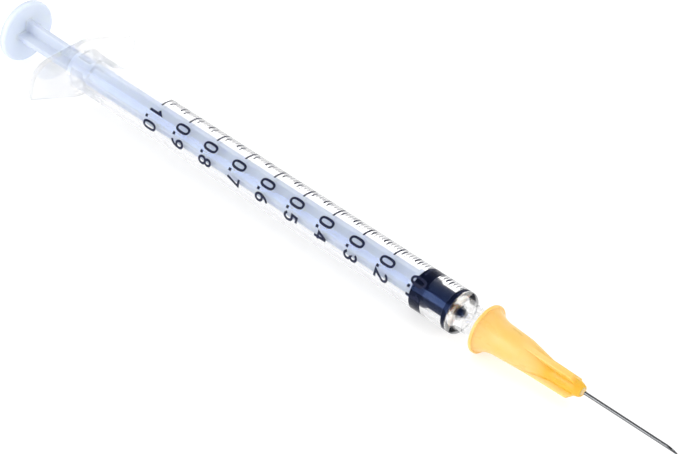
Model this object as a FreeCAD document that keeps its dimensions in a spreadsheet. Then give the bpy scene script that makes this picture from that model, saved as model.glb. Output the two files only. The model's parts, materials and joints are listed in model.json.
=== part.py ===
"""One millilitre syringe with a slip nozzle and a detachable needle, in millimetres.

Each piece is drawn along its own X axis, from the zero line of the graduation, with +X towards
the needle.  The placements then lay the whole syringe down on the edge of its finger flange and
the rim of its needle hub, which is how it comes to rest on a table, with +Z up.
"""
import FreeCAD, Part
import math
import os
import Sketcher

V = FreeCAD.Vector
NEAR = 1e-4  # places closer than this are taken for one
FULL_TURN = 360
QUARTER_TURN = 90

doc = FreeCAD.newDocument("Syringe")

# Driving dimensions: alias, value, meaning

SIZES = [
    ("barrel_dia", 6.4, "outside of the tube"),
    ("bore_dia", 4.7, "inside of the tube"),
    ("barrel_back", 76.05, "zero line to the open mouth"),
    ("shoulder_front", 1.2, "zero line to the outside of the end wall"),
    ("shoulder_round", 0.5, "rounding of the shoulder"),
    ("mouth_chamfer", 0.35, "lead-in at the open mouth"),
    ("bead_back", 72.4, "zero line to the bead that keeps the stopper in"),
    ("bead_height", 0.1, "how far the bead stands into the bore"),
    ("bead_half", 0.6, "half the length of the bead"),
    ("cone_gap", 0.1, "end of the bore in front of the zero line"),
    ("cone_length", 1.0, "length of the cone inside the end wall"),
    ("passage_dia", 1.7, "passage through the nozzle"),
    ("nozzle_length", 8.8, "shoulder to the nozzle's tip"),
    ("nozzle_tip_dia", 4.0, "outside of the nozzle at its tip"),
    ("nozzle_taper", 0.06, "diameter gained for each unit of length"),
    ("nozzle_edge", 0.25, "chamfer at the nozzle's tip"),
    ("flange_span", 20.8, "finger flange from end to end"),
    ("flange_width", 9.7, "finger flange across its middle"),
    ("flange_slope", 12.73, "slope of the flange's long sides, in degrees"),
    ("flange_middle", 8.0, "rounding where the sides meet in the middle"),
    ("flange_round_corner", 3.2, "rounding of two of the flange's corners"),
    ("flange_corner", 0.4, "rounding of the two corners between them"),
    ("flange_thick", 1.0, "thickness of the finger flange"),
    ("flange_edge", 0.25, "chamfer of the flange's edges"),
    ("flange_root", 0.5, "slope between flange and tube"),
    ("rib_thick", 0.9, "thickness of the rod's ribs"),
    ("rib_front_dia", 4.1, "across the rod's ribs at the stopper"),
    ("rib_mouth_dia", 4.2, "across the rod's ribs at the barrel's mouth"),
    ("rib_back_dia", 4.6, "across the rod's ribs at the thumb disc"),
    ("rib_edge", 0.2, "chamfer of the ribs' edges"),
    ("rib_turn", 8.0, "turn of the ribs about the rod, in degrees"),
    ("disc_dia", 9.9, "thumb disc"),
    ("disc_thick", 1.3, "thickness of the thumb disc"),
    ("disc_back", 89.05, "zero line to the back of the thumb disc"),
    ("disc_edge", 0.3, "chamfer of the thumb disc's rim"),
    ("collar_dia", 4.3, "collar that pushes the stopper"),
    ("collar_thick", 0.8, "thickness of the collar"),
    ("neck_dia", 1.6, "neck between collar and head"),
    ("head_dia", 2.5, "widest part of the head inside the stopper"),
    ("head_tip_dia", 1.2, "front of the head"),
    ("head_length", 2.2, "length of the head"),
    ("head_play", 0.05, "clearance round the neck and the head"),
    ("stopper_length", 6.7, "zero line to the back of the stopper"),
    ("stopper_play", 0.03, "clearance between stopper and bore"),
    ("rear_rib", 2.2, "length of the stopper's rear rib"),
    ("front_rib", 0.7, "length of the stopper's front rib"),
    ("rib_slope", 0.3, "length of the slope beside a rib"),
    ("waist_dia", 3.85, "stopper between its ribs"),
    ("stopper_chamfer", 0.15, "chamfer at the back of the stopper"),
    ("neck_wall", 1.5, "thickness of rubber behind the head"),
    ("stopper_nose_dia", 1.4, "flat at the front of the stopper"),
    ("nose_gap", 0.1, "space between the stopper's cone and the end wall"),
    ("hub_play", 0.03, "clearance between hub and nozzle"),
    ("hub_back", 4.95, "zero line to the rim of the hub"),
    ("hub_rim_dia", 7.4, "rim of the hub"),
    ("hub_lip", 0.5, "length of the hub's lip"),
    ("hub_step", 0.3, "step from the lip down to the start of the flare"),
    ("hub_waist_dia", 4.86, "hub in front of its flare"),
    ("hub_waist_at", 8.3, "zero line to the end of the flare"),
    ("hub_socket_end", 12.0, "zero line to the end of the hub's slim socket"),
    ("hub_socket_dia", 4.44, "hub at the end of its socket"),
    ("hub_edge", 0.15, "chamfer of the hub's rim"),
    ("socket_depth", 5.3, "rim to the bottom of the socket"),
    ("socket_cone", 1.3, "length of the cone at the bottom of the socket"),
    ("core_cone", 5.0, "length of the cone from the socket to the core"),
    ("core_dia", 2.5, "hub between its fins, at the cone"),
    ("core_front_dia", 2.3, "hub between its fins, at the front"),
    ("fin_back", 11.5, "zero line to the back of the fins, inside the cone"),
    ("fin_front", 21.0, "zero line to the front of the fins"),
    ("fin_back_dia", 4.38, "across the fins at the back"),
    ("fin_front_dia", 4.0, "across the fins at the front"),
    ("fin_nose", 0.8, "length of the slope at the front of the fins"),
    ("fin_thick", 0.75, "thickness of a fin"),
    ("fin_count", 3, "number of fins"),
    ("fin_turn", 26.0, "turn of the fins about the hub, in degrees"),
    ("hub_front", 22.0, "zero line to the front of the hub"),
    ("hub_nose", 0.9, "length of the slope at the front of the hub"),
    ("hub_nose_dia", 1.7, "front face of the hub"),
    ("well_dia", 1.1, "well for the glue at the mouth"),
    ("well_depth", 1.6, "depth of the well"),
    ("tube_dia", 0.5, "outside of the needle tube"),
    ("tube_bore_dia", 0.26, "inside of the needle tube"),
    ("tube_play", 0.02, "clearance round the needle tube"),
    ("tube_inside", 9.4, "length of the tube inside the hub"),
    ("tube_exposed", 16.0, "length of the tube in front of the hub"),
    ("bevel_angle", 12.0, "angle of the ground point, in degrees"),
    ("glue_rise", 0.35, "height of the glue in front of the hub"),
    ("glue_top_dia", 0.7, "glue where it ends on the tube"),
]

sheet = doc.addObject("Spreadsheet::Sheet", "Sizes")
for row, (alias, value, meaning) in enumerate(SIZES, start=1):
    sheet.set("A%d" % row, alias)
    sheet.set("B%d" % row, str(value))
    sheet.setAlias("B%d" % row, alias)
    sheet.set("C%d" % row, meaning)
doc.recompute()


def size(expression):
    """Value of an expression whose names are aliases of the sheet."""
    return float(sheet.evalExpression(expression))


def on_sheet(expression):
    """The same expression as it is written on another object."""
    aliases = sorted((alias for alias, _, _ in SIZES), key=len, reverse=True)
    text = ""
    rest = expression
    while rest:
        name = next((alias for alias in aliases if rest.startswith(alias)), None)
        if name:
            text += "Sizes." + name
            rest = rest[len(name):]
        else:
            text += rest[0]
            rest = rest[1:]
    return text


def origin_part(body, role):
    """One of a body's own origin planes or axes."""
    return next(item for item in body.Origin.OriginFeatures if item.Role == role)


def new_body(name):
    """A body whose label is the name of its piece."""
    body = doc.addObject("PartDesign::Body", name)
    body.Label = name
    return body


def new_sketch(body, name, role):
    """An empty sketch on an origin plane of its body."""
    sketch = body.newObject("Sketcher::SketchObject", name)
    sketch.AttachmentSupport = (origin_part(body, role), [""])
    sketch.MapMode = "FlatFace"
    return sketch


def pin_point(sketch, edge, end, name, across, along):
    """Hold the end of an edge by its two distances from the sketch's origin."""
    for kind, axis, expression in (("DistanceX", -2, across), ("DistanceY", -1, along)):
        if expression == "0":
            sketch.addConstraint(Sketcher.Constraint("PointOnObject", edge, end, axis))
        else:
            value = size(expression)
            number = sketch.addConstraint(Sketcher.Constraint(kind, -1, 1, edge, end, value))
            label = name + ("_x" if kind == "DistanceX" else "_y")
            sketch.renameConstraint(number, label)
            sketch.setExpression("Constraints." + label, on_sheet(expression))


def short_arc(centre, start, finish):
    """The arc under half a turn from start to finish, and which of its ends start is.

    An arc in a sketch always runs anticlockwise, so it may have to run from finish to start.
    """
    angles = [math.atan2(point.y - centre.y, point.x - centre.x) for point in (start, finish)]
    sweep = (angles[1] - angles[0]) % (2 * math.pi)
    circle = Part.Circle(centre, V(0, 0, 1), (start - centre).Length)
    if sweep < math.pi:
        return Part.ArcOfCircle(circle, angles[0], angles[0] + sweep), 1
    back = 2 * math.pi - sweep
    return Part.ArcOfCircle(circle, angles[1], angles[1] + back), 2


def outline(sketch, points, arcs=None):
    """Closed outline through points given as pairs of expressions.

    arcs maps the number of an edge to the (across, along) expressions of its arc's centre.
    """
    arcs = arcs or {}
    corners = [V(size(across), size(along), 0) for across, along in points]
    count = len(corners)
    starts = []
    for number in range(count):
        start = corners[number]
        finish = corners[(number + 1) % count]
        if number in arcs:
            centre = V(size(arcs[number][0]), size(arcs[number][1]), 0)
            edge, start_end = short_arc(centre, start, finish)
            sketch.addGeometry(edge)
            starts.append(start_end)
        else:
            sketch.addGeometry(Part.LineSegment(start, finish))
            starts.append(1)
    for number in range(count):
        following = (number + 1) % count
        sketch.addConstraint(Sketcher.Constraint(
            "Coincident", number, 3 - starts[number], following, starts[following]))
    for number, (across, along) in enumerate(points):
        pin_point(sketch, number, starts[number], "p%d" % number, across, along)
    return sketch


def sketch_radius(sketch, edge, expression, label):
    """Give an arc of a sketch a named radius."""
    number = sketch.addConstraint(Sketcher.Constraint("Radius", edge, size(expression)))
    sketch.renameConstraint(number, label)
    return label


def revolve(body, kind, sketch, name):
    """Turn a half section round the syringe's axis."""
    feature = body.newObject("PartDesign::" + kind, name)
    feature.Profile = sketch
    feature.ReferenceAxis = (sketch, ["H_Axis"])
    feature.Angle = FULL_TURN
    doc.recompute()
    return feature


def pad(body, sketch, name, length, both_ways=False):
    """Give a sketch a thickness, to one side or half to each side."""
    feature = body.newObject("PartDesign::Pad", name)
    feature.Profile = sketch
    if both_ways:
        feature.SideType = "Symmetric"
    feature.setExpression("Length", on_sheet(length))
    doc.recompute()
    return feature


def turn_copies(body, feature, name, angle, count):
    """Copies of a feature round the syringe's axis."""
    pattern = body.newObject("PartDesign::PolarPattern", name)
    pattern.Originals = [feature]
    pattern.Axis = (origin_part(body, "X_Axis"), [""])
    pattern.Angle = angle
    if isinstance(count, str):
        pattern.setExpression("Occurrences", on_sheet(count))
    else:
        pattern.Occurrences = count
    body.Tip = pattern
    doc.recompute()
    return pattern


def edges_where(feature, test):
    """Names of a feature's edges that pass a test on the edge."""
    return ["Edge%d" % number
            for number, edge in enumerate(feature.Shape.Edges, start=1) if test(edge)]


def ring_at(across, radius):
    """A test for full rings round the axis at a distance along it, of a radius."""
    def test(edge):
        curve = edge.Curve
        if not isinstance(curve, Part.Circle):
            return False
        same_place = abs(curve.Center.x - across) < NEAR and abs(curve.Radius - radius) < NEAR
        return same_place and abs(abs(curve.Axis.x) - 1) < NEAR
    return test


def soften(body, base, name, edges, amount, kind="Fillet"):
    """Round or chamfer named edges by a size."""
    feature = body.newObject("PartDesign::" + kind, name)
    feature.Base = (base, edges)
    feature.setExpression("Radius" if kind == "Fillet" else "Size", on_sheet(amount))
    doc.recompute()
    return feature


# Barrel: tube, end wall, nozzle and finger flange moulded as one

NOZZLE_TIP = "shoulder_front + nozzle_length"
NOZZLE_ROOT_DIA = "nozzle_tip_dia + nozzle_taper * nozzle_length"


def make_barrel():
    """Tube with a tapered nozzle at one end and a finger flange round its open mouth."""
    body = new_body("barrel")

    outside = outline(new_sketch(body, "BarrelOutside", "XZ_Plane"), [
        ("-barrel_back", "0"),
        ("-barrel_back", "barrel_dia / 2"),
        ("shoulder_front", "barrel_dia / 2"),
        ("shoulder_front", "(%s) / 2" % NOZZLE_ROOT_DIA),
        (NOZZLE_TIP, "nozzle_tip_dia / 2"),
        (NOZZLE_TIP, "0"),
    ])
    tube = revolve(body, "Revolution", outside, "Tube")

    # the long sides slope both ways from the middle; apex is where they meet before rounding
    apex = "(flange_width / 2 + flange_middle * (1 / cos(flange_slope * 1deg) - 1))"
    end = "(%s - flange_span / 2 * tan(flange_slope * 1deg))" % apex
    plate_sketch = outline(new_sketch(body, "FlangeOutline", "YZ_Plane"), [
        ("0", apex),
        ("flange_span / 2", end),
        ("flange_span / 2", "-" + end),
        ("0", "-" + apex),
        ("-flange_span / 2", "-" + end),
        ("-flange_span / 2", end),
    ])
    plate_sketch.setExpression("AttachmentOffset.Base.z", on_sheet("-barrel_back"))
    plate = pad(body, plate_sketch, "Flange", "flange_thick")

    def plate_corner(test):
        def is_wanted(edge):
            ends = [vertex.Point for vertex in edge.Vertexes]
            along_tube = len(ends) == 2 and abs(edge.Length - size("flange_thick")) < NEAR \
                and abs(ends[0].y - ends[1].y) < NEAR and abs(ends[0].z - ends[1].z) < NEAR
            return along_tube and test(ends[0].y, ends[0].z)
        return is_wanted

    at_middle = plate_corner(lambda across, up: abs(across) < NEAR)
    middle = soften(body, plate, "FlangeMiddle", edges_where(plate, at_middle), "flange_middle")
    half_span = size("flange_span / 2")
    at_round = plate_corner(lambda across, up: abs(abs(across) - half_span) < NEAR
                            and across * up < 0)
    rounds = soften(body, middle, "FlangeRounds", edges_where(middle, at_round),
                    "flange_round_corner")
    at_corner = plate_corner(lambda across, up: abs(abs(across) - half_span) < NEAR
                             and across * up > 0 and abs(up) > size(end) - NEAR)
    corners = soften(body, rounds, "FlangeCorners", edges_where(rounds, at_corner),
                     "flange_corner")

    flange_front = size("flange_thick - barrel_back")
    flange_back = size("-barrel_back")
    tube_radius = size("barrel_dia / 2")

    def is_rim(edge):
        box = edge.BoundBox
        flat = box.XLength < NEAR and (abs(box.XMin - flange_front) < NEAR
                                       or abs(box.XMin - flange_back) < NEAR)
        beyond_tube = max(vertex.Point.y ** 2 + vertex.Point.z ** 2 for vertex in edge.Vertexes)
        return flat and beyond_tube > (tube_radius + NEAR) ** 2

    rims = edges_where(corners, is_rim)
    rim = soften(body, corners, "FlangeEdge", rims, "flange_edge", "Chamfer")
    root_ring = ring_at(flange_front, tube_radius)
    root = soften(body, rim, "FlangeRoot", edges_where(rim, root_ring), "flange_root", "Chamfer")
    shoulder_ring = ring_at(size("shoulder_front"), tube_radius)
    shoulder = soften(body, root, "Shoulder", edges_where(root, shoulder_ring), "shoulder_round")
    tip_ring = ring_at(size(NOZZLE_TIP), size("nozzle_tip_dia / 2"))
    soften(body, shoulder, "NozzleEdge", edges_where(shoulder, tip_ring), "nozzle_edge", "Chamfer")

    bead_top = "bore_dia / 2 - bead_height"
    inside = outline(new_sketch(body, "BarrelInside", "XZ_Plane"), [
        ("-barrel_back", "0"),
        ("-barrel_back", "bore_dia / 2 + mouth_chamfer"),
        ("mouth_chamfer - barrel_back", "bore_dia / 2"),
        ("-bead_back - bead_half", "bore_dia / 2"),
        ("-bead_back", bead_top),
        ("bead_half - bead_back", "bore_dia / 2"),
        ("cone_gap", "bore_dia / 2"),
        ("cone_gap + cone_length", "passage_dia / 2"),
        (NOZZLE_TIP, "passage_dia / 2"),
        (NOZZLE_TIP, "0"),
    ])
    revolve(body, "Groove", inside, "Bore")
    return body


# Plunger rod: cross-ribbed stem, thumb disc, and the head that holds the stopper

STOPPER_BACK = "-stopper_length"
COLLAR_FRONT = "-stopper_length - head_play"
COLLAR_BACK = "-stopper_length - head_play - collar_thick"
DISC_FRONT = "disc_thick - disc_back"
HEAD_BACK = "neck_wall + head_play - stopper_length"
HEAD_FRONT = "neck_wall + head_play + head_length - stopper_length"


def make_plunger_rod():
    """Two crossed ribs between a round thumb disc and a collar, with a headed neck in front."""
    body = new_body("plunger_rod")

    disc_outline = outline(new_sketch(body, "DiscOutline", "XZ_Plane"), [
        ("-disc_back", "0"),
        ("-disc_back", "disc_dia / 2"),
        (DISC_FRONT, "disc_dia / 2"),
        (DISC_FRONT, "0"),
    ])
    disc = revolve(body, "Revolution", disc_outline, "Disc")
    disc_rims = edges_where(disc, lambda edge: isinstance(edge.Curve, Part.Circle))
    soften(body, disc, "DiscRim", disc_rims, "disc_edge", "Chamfer")

    blade_outline = outline(new_sketch(body, "RibOutline", "XZ_Plane"), [
        (DISC_FRONT, "rib_back_dia / 2"),
        ("-barrel_back", "rib_mouth_dia / 2"),
        (COLLAR_BACK, "rib_front_dia / 2"),
        (COLLAR_BACK, "-rib_front_dia / 2"),
        ("-barrel_back", "-rib_mouth_dia / 2"),
        (DISC_FRONT, "-rib_back_dia / 2"),
    ])
    blade = pad(body, blade_outline, "Rib", "rib_thick", both_ways=True)
    cross = turn_copies(body, blade, "CrossRibs", QUARTER_TURN, 2)

    tip_radius = size("rib_front_dia / 2 - rib_thick / 2")

    def is_rib_edge(edge):
        if not isinstance(edge.Curve, Part.Line):
            return False
        ends = [vertex.Point for vertex in edge.Vertexes]
        runs_along = abs(ends[0].x - ends[1].x) > edge.Length / 2
        return runs_along and all(max(abs(point.y), abs(point.z)) > tip_radius for point in ends)

    soften(body, cross, "RibEdges", edges_where(cross, is_rib_edge), "rib_edge", "Chamfer")

    head_outline = outline(new_sketch(body, "HeadOutline", "XZ_Plane"), [
        (COLLAR_BACK, "0"),
        (COLLAR_BACK, "collar_dia / 2"),
        (COLLAR_FRONT, "collar_dia / 2"),
        (COLLAR_FRONT, "neck_dia / 2"),
        (HEAD_BACK, "neck_dia / 2"),
        (HEAD_BACK, "head_dia / 2"),
        (HEAD_FRONT, "head_tip_dia / 2"),
        (HEAD_FRONT, "0"),
    ])
    revolve(body, "Revolution", head_outline, "CollarAndHead")
    return body


# Stopper: rubber with a sealing rib at each end and an undercut pocket for the rod's head

def make_stopper():
    """Round rubber piston whose front cone follows the end wall of the barrel."""
    body = new_body("stopper")
    rib = "bore_dia / 2 - stopper_play"
    cone_front = "cone_gap + cone_length - nose_gap"
    outside = outline(new_sketch(body, "StopperOutside", "XZ_Plane"), [
        (STOPPER_BACK, "0"),
        (STOPPER_BACK, rib + " - stopper_chamfer"),
        ("stopper_chamfer - stopper_length", rib),
        ("rear_rib - stopper_length", rib),
        ("rear_rib + rib_slope - stopper_length", "waist_dia / 2"),
        ("-front_rib - rib_slope", "waist_dia / 2"),
        ("-front_rib", rib),
        ("0", rib),
        (cone_front, "stopper_nose_dia / 2"),
        (cone_front, "0"),
    ])
    revolve(body, "Revolution", outside, "Rubber")
    pocket = outline(new_sketch(body, "HeadPocket", "XZ_Plane"), [
        (STOPPER_BACK, "0"),
        (STOPPER_BACK, "neck_dia / 2 + head_play"),
        ("neck_wall - stopper_length", "neck_dia / 2 + head_play"),
        ("neck_wall - stopper_length", "head_dia / 2 + head_play"),
        (HEAD_FRONT + " + head_play", "head_tip_dia / 2 + head_play"),
        (HEAD_FRONT + " + head_play", "0"),
    ])
    revolve(body, "Groove", pocket, "Pocket")
    return body


# Needle hub: tapered socket with a flared rim, and fins in front of it

def make_needle_hub():
    """Hub whose socket follows the nozzle's taper, drawn down to a finned core."""
    body = new_body("needle_hub")
    lip_front = "hub_back + hub_lip"
    # the flare is an arc that ends level at the waist, so its centre stands over the waist
    flare = "(hub_rim_dia / 2 - hub_step)"
    fall = "(%s - hub_waist_dia / 2)" % flare
    run = "(hub_waist_at - hub_back - hub_lip)"
    flare_radius = "((%s ^ 2 + %s ^ 2) / (2 * %s))" % (run, fall, fall)
    shell = outline(new_sketch(body, "HubOutside", "XZ_Plane"), [
        ("hub_back", "0"),
        ("hub_back", "hub_rim_dia / 2"),
        (lip_front, "hub_rim_dia / 2"),
        (lip_front, flare),
        ("hub_waist_at", "hub_waist_dia / 2"),
        ("hub_socket_end", "hub_socket_dia / 2"),
        ("hub_socket_end + core_cone", "core_dia / 2"),
        ("hub_front - hub_nose", "core_front_dia / 2"),
        ("hub_front", "hub_nose_dia / 2"),
        ("hub_front", "0"),
    ], arcs={3: ("hub_waist_at", "hub_waist_dia / 2 + " + flare_radius)})
    shell.setExpression("Constraints." + sketch_radius(shell, 3, flare_radius, "flare"),
                        on_sheet(flare_radius))
    turned = revolve(body, "Revolution", shell, "Shell")

    rim_back = ring_at(size("hub_back"), size("hub_rim_dia / 2"))
    rim_front = ring_at(size(lip_front), size("hub_rim_dia / 2"))
    rings = edges_where(turned, lambda edge: rim_back(edge) or rim_front(edge))
    soften(body, turned, "HubEdges", rings, "hub_edge", "Chamfer")

    fin_outline = outline(new_sketch(body, "FinOutline", "XZ_Plane"), [
        ("fin_back", "core_front_dia / 4"),
        ("fin_back", "fin_back_dia / 2"),
        ("fin_front - fin_nose", "fin_front_dia / 2"),
        ("fin_front", "core_front_dia / 2"),
        ("fin_front", "core_front_dia / 4"),
    ])
    fin = pad(body, fin_outline, "Fin", "fin_thick", both_ways=True)
    turn_copies(body, fin, "Fins", FULL_TURN, "fin_count")

    # the socket's wall stands off the nozzle by the play at every point of the taper
    mouth = "(nozzle_tip_dia + nozzle_taper * (%s - hub_back)) / 2 + hub_play" % NOZZLE_TIP
    bottom = "(nozzle_tip_dia + nozzle_taper * (%s - hub_back - socket_depth)) / 2 + hub_play" \
        % NOZZLE_TIP
    tube_hole = "tube_dia / 2 + tube_play"
    cone_front = "hub_back + socket_depth + socket_cone"
    inside = outline(new_sketch(body, "HubInside", "XZ_Plane"), [
        ("hub_back", "0"),
        ("hub_back", mouth),
        ("hub_back + socket_depth", bottom),
        (cone_front, tube_hole),
        ("hub_front - well_depth", tube_hole),
        ("hub_front - well_depth / 2", "well_dia / 2"),
        ("hub_front", "well_dia / 2"),
        ("hub_front", "0"),
    ])
    revolve(body, "Groove", inside, "Socket")
    return body


# Needle tube: drawn steel tube with a ground point

TUBE_BACK = "hub_front - tube_inside"
TUBE_FRONT = "hub_front + tube_exposed"


def make_needle_tube():
    """Thin tube, ground off at a slant that faces up."""
    body = new_body("needle_tube")
    wall = outline(new_sketch(body, "TubeWall", "XZ_Plane"), [
        (TUBE_BACK, "tube_bore_dia / 2"),
        (TUBE_BACK, "tube_dia / 2"),
        (TUBE_FRONT, "tube_dia / 2"),
        (TUBE_FRONT, "tube_bore_dia / 2"),
    ])
    revolve(body, "Revolution", wall, "Tube_drawn")
    # the grinding plane passes a little past the tube on both sides
    past = "tube_dia / 2"
    slant = "tan(bevel_angle * 1deg)"
    grind = outline(new_sketch(body, "Grinding", "XZ_Plane"), [
        ("%s - tube_dia / %s - %s / %s" % (TUBE_FRONT, slant, past, slant), "tube_dia / 2 + " + past),
        (TUBE_FRONT, "-tube_dia / 2"),
        (TUBE_FRONT + " + " + past, "-tube_dia / 2"),
        (TUBE_FRONT + " + " + past, "tube_dia / 2 + " + past),
    ])
    pocket = body.newObject("PartDesign::Pocket", "Point")
    pocket.Profile = grind
    pocket.SideType = "Symmetric"
    pocket.setExpression("Length", on_sheet("tube_dia * 2"))
    doc.recompute()
    return body


# Glue: fills the well round the needle tube

def make_needle_glue():
    """Plug of glue that rises on to the tube in a small cone."""
    body = new_body("needle_glue")
    hole = "tube_dia / 2 + tube_play"
    # the plug stops short of the well's walls by the play round the tube
    section = outline(new_sketch(body, "GlueSection", "XZ_Plane"), [
        ("hub_front - well_depth / 2", hole),
        ("hub_front - well_depth / 2", "well_dia / 2 - tube_play"),
        ("hub_front", "well_dia / 2 - tube_play"),
        ("hub_front + glue_rise", "glue_top_dia / 2"),
        ("hub_front + glue_rise", hole),
    ])
    revolve(body, "Revolution", section, "Plug")
    return body


# Lying down: the axis falls towards the needle from the flange's edge to the hub's rim

HUB_TOUCH = "(hub_back + hub_lip - hub_edge)"
FLANGE_TOUCH = "(flange_thick - flange_edge - barrel_back)"
REST_FALL = "((flange_width - hub_rim_dia) / 2)"
REST_ANGLE = "atan(%s / (%s - %s))" % (REST_FALL, HUB_TOUCH, FLANGE_TOUCH)
MIDDLE = "((%s - disc_back) / 2)" % TUBE_FRONT
REST_HEIGHT = "(%s * sin(%s) + hub_rim_dia / 2 * cos(%s))" % (HUB_TOUCH, REST_ANGLE, REST_ANGLE)


def lay_down(body, turn="0"):
    """Turn a piece about the syringe's axis, tip the axis, and stand it over the origin."""
    spin = "rotation(vector(1; 0; 0); %s)" % turn
    tip = "rotation(vector(0; 1; 0); %s)" % REST_ANGLE
    shift = "vector(-%s; 0; %s)" % (MIDDLE, REST_HEIGHT)
    body.setExpression("Placement", on_sheet("placement(%s; %s * %s)" % (shift, tip, spin)))


pieces = [
    make_barrel(),
    make_plunger_rod(),
    make_stopper(),
    make_needle_hub(),
    make_needle_tube(),
    make_needle_glue(),
]
turns = {"plunger_rod": "rib_turn", "needle_hub": "fin_turn"}
for piece in pieces:
    lay_down(piece, turns.get(piece.Label, "0"))
doc.recompute()

# Nothing is written unless every object is sound

for item in doc.Objects:
    if "Invalid" in item.State or "Error" in item.State:
        raise RuntimeError("%s failed: %s" % (item.Label, item.State))
for piece in pieces:
    if piece.Shape.isNull() or not piece.Shape.isValid():
        raise RuntimeError("%s has no valid shape" % piece.Label)

os.makedirs("parts", exist_ok=True)
for piece in pieces:
    piece.Shape.exportStep("parts/%s.step" % piece.Label)
    box = piece.Shape.optimalBoundingBox()
    print(piece.Label, round(piece.Shape.Volume, 3), "cubic mm,", len(piece.Shape.Solids), "solid,",
          "x %.3f to %.3f, z %.3f to %.3f" % (box.XMin, box.XMax, box.ZMin, box.ZMax))
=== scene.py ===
"""A one millilitre syringe with its needle, lying on a white table, dressed for a picture.

Shapes are worked out along the syringe's own axis in millimetres, from the zero line of the
graduation and towards the needle, and then placed in the frame of the CAD model in metres.
"""
import json
import math

import bmesh
import bpy
import numpy as np
from bpy.props import FloatProperty, FloatVectorProperty, IntProperty, PointerProperty
from mathutils import Matrix


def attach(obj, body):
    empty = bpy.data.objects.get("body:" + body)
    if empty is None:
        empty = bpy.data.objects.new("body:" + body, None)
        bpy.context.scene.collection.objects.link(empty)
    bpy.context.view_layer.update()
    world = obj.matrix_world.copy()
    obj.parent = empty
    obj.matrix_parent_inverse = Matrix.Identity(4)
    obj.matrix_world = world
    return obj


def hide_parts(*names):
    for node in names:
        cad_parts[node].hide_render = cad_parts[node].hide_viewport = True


bl_info = {
    "name": "One Millilitre Syringe",
    "version": (1, 0, 0),
    "blender": (4, 5, 0),
    "location": "View3D > Sidebar > Syringe",
    "description": "Builds a lying 1 mL syringe with its needle, and a white table to show it on",
    "category": "Object",
}

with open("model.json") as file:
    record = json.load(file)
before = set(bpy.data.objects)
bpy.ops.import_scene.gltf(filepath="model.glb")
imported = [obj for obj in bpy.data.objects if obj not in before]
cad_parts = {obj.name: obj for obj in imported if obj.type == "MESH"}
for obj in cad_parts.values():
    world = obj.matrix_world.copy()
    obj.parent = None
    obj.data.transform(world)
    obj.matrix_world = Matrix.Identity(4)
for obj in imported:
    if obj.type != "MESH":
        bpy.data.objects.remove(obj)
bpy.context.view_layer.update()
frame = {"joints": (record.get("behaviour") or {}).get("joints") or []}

MM = 0.001
ROD_TURN = next(joint for joint in frame["joints"] if joint["name"] == "rod_turn")
STOPPER_BACK = -6.7  # where the rod's joint stands, from the zero line
FORWARD = np.array(ROD_TURN["axis"], float) / np.linalg.norm(ROD_TURN["axis"])
ASIDE = np.array([0.0, 1.0, 0.0])
UPWARD = np.cross(FORWARD, ASIDE)
AXES = np.array([FORWARD, ASIDE, UPWARD])
ZERO_LINE = np.array(ROD_TURN["pos_m"], float) - STOPPER_BACK * MM * FORWARD
FALL_ANGLE = math.atan2(-FORWARD[2], FORWARD[0])  # how far the axis falls towards the needle
LITRE_STEP = 57.64  # length of one millilitre in the bore


# Shapes: profiles, rings and grids of points

GUARD = 0.05  # how far a guard point stands from its arc


def place(points):
    """Points (along, aside, up) in millimetres from the zero line, in the frame in metres."""
    return ZERO_LINE + (points * MM) @ AXES


def round_about(along, radius, angle):
    """Points at a distance along the axis, a radius, and an angle from up towards the viewer."""
    along, radius, angle = np.broadcast_arrays(along, radius, angle)
    return np.stack([along, -radius * np.sin(angle), radius * np.cos(angle)], axis=-1)


def even_angles(count):
    """Angles spread evenly over a full turn."""
    return np.arange(count) * (2 * math.pi / count)


def rounded(corners, closed=False, steps=6):
    """Profile through corners (along, out, rounding), each turned by an arc of its rounding.

    The arc touches both sides of its corner: it starts and ends rounding / tan(half the angle)
    away from it.  A guard point beside each arc keeps the shading of long walls flat.
    """
    pieces = []
    count = len(corners)
    for number, (along, out, rounding) in enumerate(corners):
        corner = np.array([along, out], float)
        if rounding == 0 or (not closed and number in (0, count - 1)):
            pieces.append(corner[None])
            continue
        sides = np.array([corners[number - 1][:2], corners[(number + 1) % count][:2]]) - corner
        lengths = np.linalg.norm(sides, axis=1)
        sides /= lengths[:, None]
        half = math.acos(np.clip(sides[0] @ sides[1], -1, 1)) / 2
        reach = min(rounding / math.tan(half), 0.49 * lengths.min())
        radius = reach * math.tan(half)
        inward = sides.sum(axis=0)
        centre = corner + inward / np.linalg.norm(inward) * radius / math.sin(half)
        ends = corner + sides * reach - centre
        start, finish = np.arctan2(ends[:, 1], ends[:, 0])
        sweep = (finish - start + math.pi) % (2 * math.pi) - math.pi
        turn = start + sweep * np.linspace(0, 1, steps + 1)
        arc = centre + radius * np.stack([np.cos(turn), np.sin(turn)], axis=-1)
        room = np.minimum(GUARD, 0.4 * lengths - reach * 0.8).clip(1e-4)
        guards = corner + sides * (reach + room)[:, None]
        pieces += [guards[:1], arc, guards[1:]]
    return np.vstack(pieces)


def turned(profile, angles):
    """Grid of a profile (along, out) turned round the axis."""
    return round_about(profile[:, :1], profile[:, 1:], angles[None])


def smaller(first, second, width):
    """Smaller of two values, with the change from one to the other eased over a width."""
    share = np.clip(0.5 + (second - first) / (2 * width), 0, 1)
    return second + (first - second) * share - width * share * (1 - share)


def larger(first, second, width):
    """Larger of two values, with the change from one to the other eased over a width."""
    return -smaller(-first, -second, width)


# Pieces: grids made into meshes that ride on a body

SHARP_ANGLE = math.radians(35)  # a sharper edge isn't shaded smooth


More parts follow.
